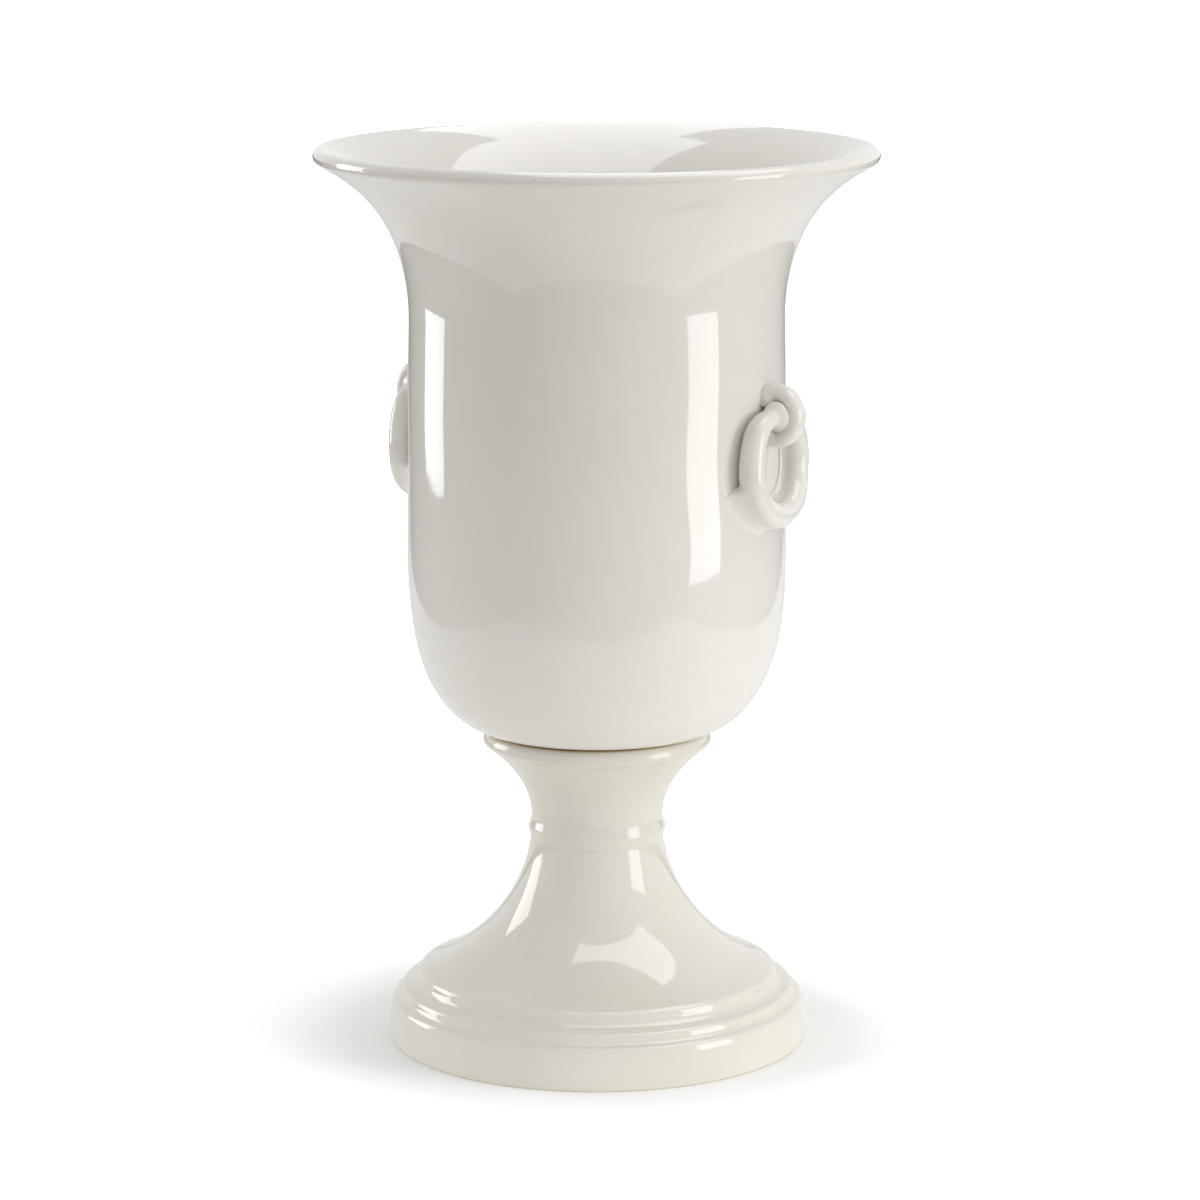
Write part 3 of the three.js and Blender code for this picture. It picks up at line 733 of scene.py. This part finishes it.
def lug_grid(side, rows=140, turns=64):
    """The lug: a flattened bar curled round the ring's top in the upright plane through the axis.

    The middle line is an ellipse's arc. The section is a superellipse across and through the bar, which
    widens and squares off where each end is pressed on the wall.
    """
    reach = RING_TOP_THICK + LUG_CLEARANCE + LUG_THICK
    rise = reach * LUG_STRETCH
    middle = wall_radius(RING_HEIGHT) + SEAT_GAP + RING_TOP_THICK
    angle = np.linspace(-LUG_END, LUG_END, rows)[:, None]
    around = np.linspace(0, 2 * math.pi, turns, endpoint=False)[None, :]
    root = smooth_step(np.abs(angle), ROOT_FROM, ROOT_FULL)
    wide = LUG_WIDE + (ROOT_WIDE - LUG_WIDE) * root
    thick = LUG_THICK + (ROOT_THICK - LUG_THICK) * root
    power = 2 / (LUG_SQUARE + ROOT_SQUARE * root)
    across = wide * np.sign(np.sin(around)) * np.abs(np.sin(around)) ** power
    through = thick * np.sign(np.cos(around)) * np.abs(np.cos(around)) ** power
    way = np.array([np.cos(angle) / reach, np.sin(angle) / rise])
    way = way / np.linalg.norm(way, axis=0)
    x = middle + reach * np.cos(angle) + through * way[0]
    z = RING_HEIGHT + RING_UP + rise * np.sin(angle) + through * way[1]
    return np.stack(np.broadcast_arrays(x * side, across, z), -1)


def washer_profile(bore, radius, bottom, thickness, corner):
    """A flat ring's section with its four corners rounded by quarter circles."""
    top = bottom + thickness
    line = Outline(bore + corner, bottom)
    line.arc((radius - corner, bottom + corner), corner, -math.pi / 2, 0, 6)
    line.arc((radius - corner, top - corner), corner, 0, math.pi / 2, 6)
    line.arc((bore + corner, top - corner), corner, math.pi / 2, math.pi, 6)
    line.arc((bore + corner, bottom + corner), corner, math.pi, 1.5 * math.pi, 6)
    return line.points()[1:]


def hexagon(per_side=12):
    """Angles round a hexagon, its reach at each, its face's radius, and how much height its corners lose.

    The reach is half its flats over the cosine from the flat, and corners are turned off at 30 degrees.
    """
    angle = np.arange(6 * per_side)[None, :] * math.pi / (3 * per_side)
    from_flat = (angle % (math.pi / 3)) - math.pi / 6
    outer = HEX_ACROSS / 2 / np.cos(from_flat)
    crown = HEX_ACROSS / 2 - HEX_CHAMFER
    return angle, outer, crown, (outer - crown) * math.tan(math.pi / 6)


def hex_grid(bottom, height, inner):
    """A six-sided block with a round inner wall and its corners turned off at both ends."""
    angle, outer, crown, cut = hexagon()
    top = bottom + height
    mouth = inner + BORE_CHAMFER
    rings = [(inner, bottom + BORE_CHAMFER), (mouth, bottom), (crown, bottom), (outer, bottom + cut),
             (outer, top - cut), (crown, top), (mouth, top), (inner, top - BORE_CHAMFER)]
    return np.vstack([turned(radius, angle, height) for radius, height in rings])


def bolt_grid(tip, head_seat, rows_per_pitch=8):
    """The bolt: a threaded shank whose radius falls and rises once a pitch along a helix, and a hex head.

    The first and last rows are closed by fans, at the tip and on the head's top.
    """
    angle, outer, crown, cut = hexagon()
    count = int((head_seat - tip - 1) / BOLT_PITCH * rows_per_pitch)
    height = np.linspace(tip + TIP_CHAMFER[1], head_seat - THREAD_STOPS, count)[:, None]
    phase = (height / BOLT_PITCH - angle / (2 * math.pi)) % 1
    depth = THREAD_DEPTH * BOLT_PITCH * (1 - np.clip(np.abs(phase * 2 - 1) * 1.25 - 0.125, 0, 1))
    shank = BOLT_RADIUS - depth
    top = head_seat + HEAD_HEIGHT
    rings = [(BOLT_RADIUS - TIP_FACE, tip), (BOLT_RADIUS - TIP_CHAMFER[0], tip), (shank, height),
             (BOLT_RADIUS, head_seat), (crown + HEAD_EDGE[0], head_seat), (outer, head_seat + HEAD_EDGE[1]),
             (outer, top - cut), (crown, top), (crown - HEAD_FACE, top)]
    return np.vstack([turned(radius, angle, level) for radius, level in rings])


def lock_washer_grid(bottom, turns=96):
    """A split spring washer: a rounded square section carried round most of a circle."""
    section = washer_profile(BORE, LOCK_WASHER[0], bottom, LOCK_WASHER[1], LOCK_ROUND)
    angle = np.linspace(LOCK_SPLIT, 2 * math.pi - LOCK_SPLIT, turns)[:, None] + math.pi / 2
    return turned(section[None, :, 0], angle, section[None, :, 1])


def build_vessel():
    """The bowl and the pedestal, turned from their softened profiles."""
    ivory = glaze("ivory_gloss_glaze", "#dddad4", "#d8d2c8", "#cfc6b4")
    # The cream glaze carries the painted warm seam light, an amber colour on the lip's inner crest.
    cream = glaze("cream_gloss_glaze", "#d8d5cb", "#d4ccc0", "#cdc3ae", painted_seam_glow="#c9a85e")
    profile, edge = thinned(softened(bowl_profile(), BOWL_MELT), rows=300)
    grid = turned_grid(profile, COLUMNS, hand_waves(11, BOWL_WAVE, low=BASE_Z, high=RIM_TOP - 24, fade=30))
    bare = (profile[:, 1] < BASE_Z + BOWL_BARE).astype(float)
    mesh = mesh_from_grid("bowl_glazed", grid, attributes={"edge": np.clip(edge, -1, 1), "bare": bare})
    add_piece("bowl_glazed", mesh, ivory, "bowl")

    walk, melted = (softened(pedestal_profile(), melt) for melt in (PEDESTAL_MELT, PLINTH_MELT))
    on_plinth = smooth_step(walk[:, 1:], *PLINTH_STARTS) * (1 - smooth_step(walk[:, 1:], *PLINTH_ENDS))
    profile, edge = thinned(walk + (melted - walk) * on_plinth, rows=330)
    grid = turned_grid(profile, COLUMNS, hand_waves(12, PEDESTAL_WAVE, low=12, high=CUP_TOP, fade=25))
    radius, height = profile.T
    angle = np.arange(COLUMNS) * 2 * math.pi / COLUMNS
    lift = LIP_LIFT + LIP_TILT * np.cos(angle - LIP_HIGH_SIDE)
    on_lip = smooth_step(height, CUP_TOP - LIP_RISES_UNDER[0], CUP_TOP - LIP_RISES_UNDER[1])
    on_lip = on_lip * smooth_step(radius, CUP_INNER_RADIUS - LIP_RISES_INSIDE, CUP_INNER_RADIUS)
    grid[..., 2] += on_lip[:, None] * lift[None, :]
    inside = radius < FOOT_RADIUS - FOOT_WALL + FOOT_BARE_INSIDE[0]
    underneath = (height < FOOT_BARE) | (inside & (height < FOOT_BARE_INSIDE[1]))
    mesh = mesh_from_grid("pedestal_glazed", grid, attributes={"edge": np.clip(edge, -1, 1),
                                                               "bare": underneath.astype(float)})
    add_piece("pedestal_glazed", mesh, cream, "pedestal")
    return ivory


def build_handles(ivory):
    """Both rings and both lugs. The left handle mirrors the right one."""
    for side_name, side, seed in (("right", 1, 21), ("left", -1, 22)):
        ring = mesh_from_grid(f"ring_{side_name}_glazed", ring_grid(side, seed))
        add_piece(ring.name, ring, ivory, f"ring_{side_name}")
        lug = mesh_from_grid(f"lug_{side_name}_glazed", lug_grid(side), wrap=(False, True), capped=True)
        add_piece(lug.name, lug, ivory, f"lug_{side_name}")


def build_fastening():
    """The bolt, nut and washers, stacked from the bowl's floor up and from the deck's underside down."""
    zinc, rubber = zinc_plate(), moulded_rubber()
    seal_bottom = FLOOR_TOP + SEAT_GAP
    clamp_bottom = seal_bottom + RUBBER_WASHER[1] + SEAT_GAP
    head_seat = clamp_bottom + STEEL_WASHER[1] + SEAT_GAP
    cushion_bottom = DECK_UNDER - SEAT_GAP - RUBBER_WASHER[1]
    lower_bottom = cushion_bottom - SEAT_GAP - STEEL_WASHER[1]
    lock_bottom = lower_bottom - SEAT_GAP - LOCK_WASHER[1]
    nut_bottom = lock_bottom - SEAT_GAP - NUT_HEIGHT
    gasket = (BASE_RADIUS - GASKET_INSET, GASKET_THICKNESS)
    washers = (
        ("seal_washer", BORE, RUBBER_WASHER, seal_bottom, rubber, "black_rubber", RUBBER_ROUND),
        ("clamp_washer", BORE, STEEL_WASHER, clamp_bottom, zinc, "zinc_steel", STEEL_ROUND),
        ("seat_gasket", GASKET_BORE, gasket, DECK_TOP + SEAT_GAP, rubber, "black_rubber", GASKET_ROUND),
        ("cushion_washer", BORE, RUBBER_WASHER, cushion_bottom, rubber, "black_rubber", RUBBER_ROUND),
        ("lower_washer", BORE, STEEL_WASHER, lower_bottom, zinc, "zinc_steel", STEEL_ROUND),
    )
    for node, bore, (radius, thickness), bottom, material, slot, corner in washers:
        profile = washer_profile(bore, radius, bottom, thickness, corner)
        mesh = mesh_from_grid(f"{node}_round", turned_grid(profile, 96))
        add_piece(mesh.name, mesh, material, node, sharp=WASHER_CREASE)
    bolt = mesh_from_grid("tie_bolt_threaded", bolt_grid(nut_bottom - BOLT_PAST, head_seat),
                          wrap=(False, True), capped=True)
    add_piece(bolt.name, bolt, zinc, "tie_bolt", sharp=HEX_CREASE)
    nut = mesh_from_grid("hex_nut_chamfered", hex_grid(nut_bottom, NUT_HEIGHT, BORE))
    add_piece(nut.name, nut, zinc, "hex_nut", sharp=HEX_CREASE)
    lock = mesh_from_grid("lock_washer_split", lock_washer_grid(lock_bottom), wrap=(False, True), capped=True)
    add_piece(lock.name, lock, zinc, "lock_washer", sharp=WASHER_CREASE)


def camera_ways():
    """Unit steps on the floor, towards the camera and to the right of its picture."""
    towards = Vector((math.sin(CAMERA_AZIMUTH), -math.cos(CAMERA_AZIMUTH), 0))
    right = Vector((math.cos(CAMERA_AZIMUTH), math.sin(CAMERA_AZIMUTH), 0))
    return towards, right


def add_camera():
    """A long lens from a little above the rim, at the photograph's angle."""
    data = bpy.data.cameras.new("camera")
    data.lens = CAMERA_LENS
    data.sensor_width = CAMERA_SENSOR
    data.shift_x = CAMERA_SHIFT
    camera = add_object("camera", data)
    towards = camera_ways()[0]
    camera.location = towards * CAMERA_DISTANCE + Vector((0, 0, CAMERA_HEIGHT))
    looking = -towards * math.cos(CAMERA_PITCH) - Vector((0, 0, math.sin(CAMERA_PITCH)))
    rotation = looking.to_track_quat("-Z", "Y").to_matrix().to_4x4()
    camera.matrix_world = (Matrix.Translation(camera.location) @ rotation
                           @ Matrix.Rotation(CAMERA_ROLL, 4, "Z"))
    bpy.context.scene.camera = camera


def add_softbox(name, size, radiance, fade=0.12, foot=1.0):
    """A rectangular soft lamp whose face fades to a third towards its sides, over a share of its width.

    Its power is pi times its area times the radiance in the middle of its face. The lowest quarter of the
    face has only the share foot of that, because the tube in the box is higher up. Gloss doesn't show it,
    because a sheet in its place gives the reflection.
    """
    data = bpy.data.lights.new(name, "AREA")
    data.shape = "RECTANGLE"
    data.size, data.size_y = size
    data.energy = math.pi * size[0] * size[1] * radiance
    tree = emptied_tree(data)
    face = add_node(tree, "ShaderNodeNewGeometry").outputs["Parametric"]
    split = add_node(tree, "ShaderNodeSeparateXYZ", {"Vector": face})
    away = add_node(tree, "ShaderNodeMath", {0: split.outputs["X"], 1: 0.5}, operation="SUBTRACT")
    away = add_node(tree, "ShaderNodeMath", {0: away.outputs[0]}, operation="ABSOLUTE")
    side = add_node(tree, "ShaderNodeMapRange", {
        "Value": away.outputs[0], "From Min": 0.5, "From Max": 0.5 - fade, "To Min": 0.35, "To Max": 1.0})
    rise = add_node(tree, "ShaderNodeMapRange", {
        "Value": split.outputs["Y"], "From Min": 0.22, "From Max": 0.5, "To Min": foot, "To Max": 1.0})
    share = add_node(tree, "ShaderNodeMath", {0: side.outputs[0], 1: rise.outputs[0]}, operation="MULTIPLY")
    glow = add_node(tree, "ShaderNodeEmission", {"Strength": share.outputs[0]})
    add_node(tree, "ShaderNodeOutputLight", {"Surface": glow.outputs[0]})
    lamp = add_object(name, data)
    lamp.visible_camera = False
    lamp.visible_glossy = False
    return lamp


def rounded_rectangle(across, along, radii, steps=12):
    """The outline of a rectangle over two spans.

    Its corners are arcs with the radii, from front right over front left and back left to back right.
    """
    outline = []
    corners = ((1, 1), (0, 1), (0, 0), (1, 0))
    for quarter, ((i, j), radius) in enumerate(zip(corners, radii)):
        x = across[i] - radius * (2 * i - 1)
        y = along[j] - radius * (2 * j - 1)
        for angle in np.linspace(quarter, quarter + 1, steps + 1) * math.pi / 2:
            outline.append((x + radius * math.cos(angle), y + radius * math.sin(angle)))
    return outline


def add_sheet(name, outline, glint):
    """A sheet in a lamp's place that glows with the radiance glint. Only gloss shows it, as the lamp."""
    mesh = bpy.data.meshes.new(name)
    mesh.from_pydata([tuple(point) for point in outline], [], [tuple(range(len(outline)))])
    sheet = add_object(name, mesh)
    material = bpy.data.materials.new(name)
    tree = emptied_tree(material)
    glow = add_node(tree, "ShaderNodeEmission", {"Strength": glint})
    add_node(tree, "ShaderNodeOutputMaterial", {"Surface": glow.outputs[0]})
    mesh.materials.append(material)
    sheet.visible_camera = False
    sheet.visible_diffuse = False
    sheet.visible_shadow = False


def add_strip(name, bearing, distance, low, high, width, radiance, glint, foot):
    """A tall soft lamp that stands upright and faces the vase.

    The bearing is in degrees to the right of the camera as seen from the vase.
    """
    towards, right = camera_ways()
    angle = math.radians(bearing)
    way = towards * math.cos(angle) + right * math.sin(angle)
    lamp = add_softbox(name, (width, high - low), radiance, foot=foot)
    lamp.location = way * distance + Vector((0, 0, (low + high) / 2))
    lamp.rotation_euler = (-way).to_track_quat("-Z", "Y").to_euler()
    sideways = Vector((way.y, -way.x, 0)) * width / 2
    add_sheet(name + "_sheet", [way * distance + sideways * x + Vector((0, 0, z))
                                for x, z in ((-1, low), (1, low), (1, high), (-1, high))], glint)


def add_panel(name, height, across, along, radii, radiance, glint):
    """A soft lamp that lies level overhead, over a span to the right and a span towards the camera.

    Only the sheet that gives its reflection has the rounded corners.
    """
    towards, right = camera_ways()
    lamp = add_softbox(name, (across[1] - across[0], along[1] - along[0]), radiance, fade=0.02)
    lamp.location = right * (sum(across) / 2) + towards * (sum(along) / 2) + Vector((0, 0, height))
    lamp.rotation_euler = (0, 0, CAMERA_AZIMUTH)
    add_sheet(name + "_sheet", [right * x + towards * y + Vector((0, 0, height))
                                for x, y in rounded_rectangle(across, along, radii)], glint)


def add_lights():
    """A softbox overhead with a second one behind it, and two tall strips at the right and far left.

    The places of their edges come from the edges of their reflections in the photograph.
    """
    add_panel("overhead_softbox", height=1.5, across=(-0.35, 1.3), along=(-0.5, 0.65),
              radii=(0.05, 0.05, 0.02, 0.5), radiance=0.76, glint=4.1)
    add_panel("rear_softbox", height=1.5, across=(-0.22, 0.28), along=(-1.3, -0.5),
              radii=(0.02, 0.02, 0.02, 0.02), radiance=0.47, glint=3.9)
    add_strip("right_strip", bearing=65.2, distance=1.2, low=0.01, high=0.62, width=0.46,
              radiance=6.5, glint=5.2, foot=0.48)
    add_strip("left_strip", bearing=-114.2, distance=1.5, low=0.06, high=0.92, width=0.56,
              radiance=4.5, glint=5.6, foot=0.48)


def add_floor(half=8):
    """A white floor that keeps the shadow.

    To the camera all of the floor is white, and a glow that grows away from the vase, and in front of it,
    keeps the shadow as small as the photograph's. Matt surfaces meet a steady glow instead. The lamps and the
    glaze meet a white table on a grey studio floor: the table's edges are the scalloped lines that the
    photograph shows on the bowl.
    """
    corners = [(-half, -half, 0), (half, -half, 0), (half, half, 0), (-half, half, 0)]
    mesh = bpy.data.meshes.new("floor")
    mesh.from_pydata(corners, [], [(0, 1, 2, 3)])
    floor = add_object("floor", mesh)
    material = bpy.data.materials.new("white_sweep")
    tree = emptied_tree(material)
    path = add_node(tree, "ShaderNodeLightPath")
    seen = path.outputs["Is Camera Ray"]
    place = add_node(tree, "ShaderNodeTexCoord").outputs["Object"]
    table = add_node(tree, "ShaderNodeVectorRotate", {
        "Vector": place, "Angle": -CAMERA_AZIMUTH}, rotation_type="Z_AXIS")
    split = add_node(tree, "ShaderNodeSeparateXYZ", {"Vector": table.outputs[0]})
    tone = linear("#f4f4f3")
    for axis, edge, past in (("X", TABLE_RIGHT, "GREATER_THAN"), ("X", TABLE_LEFT, "LESS_THAN"),
                             ("Y", -TABLE_FRONT, "LESS_THAN")):
        off_table = add_node(tree, "ShaderNodeMath", {0: split.outputs[axis], 1: edge}, operation=past)
        tone = add_node(tree, "ShaderNodeMix", {
            "Factor": off_table.outputs[0], "A": tone, "B": linear("#63605c")},
            data_type="RGBA").outputs["Result"]
    tone = add_node(tree, "ShaderNodeMix", {
        "Factor": seen, "A": tone, "B": linear("#f2f2f2")}, data_type="RGBA").outputs["Result"]
    matt = add_node(tree, "ShaderNodeBsdfDiffuse", {"Color": tone})
    away = add_node(tree, "ShaderNodeVectorMath", {0: place}, operation="LENGTH").outputs["Value"]
    lift = 0.0
    for distance, start, stop, most in ((away, 0.12, 0.16, 0.12), (away, 0.1, 0.75, 1.2),
                                        (split.outputs["Y"], -0.05, -0.11, 0.12)):
        part = add_node(tree, "ShaderNodeMapRange", {
            "Value": distance, "From Min": start, "From Max": stop, "To Min": 0.0, "To Max": most})
        lift = add_node(tree, "ShaderNodeMath", {0: lift, 1: part.outputs[0]}, operation="ADD").outputs[0]
    bounced = add_node(tree, "ShaderNodeMath", {
        0: path.outputs["Is Diffuse Ray"], 1: TABLE_GLOW}, operation="MULTIPLY")
    lift = add_node(tree, "ShaderNodeMix", {"Factor": seen, "A": bounced.outputs[0], "B": lift})
    glow = add_node(tree, "ShaderNodeEmission", {"Strength": lift.outputs[0]})
    both = add_node(tree, "ShaderNodeAddShader", {0: matt.outputs[0], 1: glow.outputs[0]})
    add_node(tree, "ShaderNodeOutputMaterial", {"Surface": both.outputs[0]})
    mesh.materials.append(material)


def add_world():
    """White to the camera and in reflections, and soft daylight, stronger at the right, on matt surfaces."""
    scene = bpy.context.scene
    scene.view_settings.view_transform = "Standard"
    world = bpy.data.worlds.new("white_room")
    scene.world = world
    tree = emptied_tree(world)
    path = add_node(tree, "ShaderNodeLightPath")
    shown = path.outputs["Is Camera Ray"]
    for kind in ("Is Glossy Ray", "Is Transmission Ray"):
        shown = add_node(tree, "ShaderNodeMath", {
            0: shown, 1: path.outputs[kind]}, operation="MAXIMUM").outputs[0]
    right = camera_ways()[1]
    direction = add_node(tree, "ShaderNodeTexCoord").outputs["Generated"]
    rightward = add_node(tree, "ShaderNodeVectorMath", {
        0: direction, 1: tuple(right)}, operation="DOT_PRODUCT")
    daylight = add_node(tree, "ShaderNodeMapRange", {
        "Value": rightward.outputs["Value"], "From Min": -1, "From Max": 1, "To Min": SKY_LEFT,
        "To Max": SKY_RIGHT})
    height = add_node(tree, "ShaderNodeSeparateXYZ", {"Vector": direction})
    above = add_node(tree, "ShaderNodeMapRange", {
        "Value": height.outputs["Z"], "To Min": SKY_LEVEL, "To Max": SKY_ABOVE})
    daylight = add_node(tree, "ShaderNodeMath", {
        0: daylight.outputs[0], 1: above.outputs[0]}, operation="MULTIPLY")
    strength = add_node(tree, "ShaderNodeMix", {"Factor": shown, "A": daylight.outputs[0], "B": 1.0})
    sky = add_node(tree, "ShaderNodeBackground", {"Color": (1, 1, 1, 1), "Strength": strength.outputs[0]})
    add_node(tree, "ShaderNodeOutputWorld", {"Surface": sky.outputs[0]})


add_camera()
add_floor()
add_world()
add_lights()
ivory_glaze = build_vessel()
build_handles(ivory_glaze)
build_fastening()
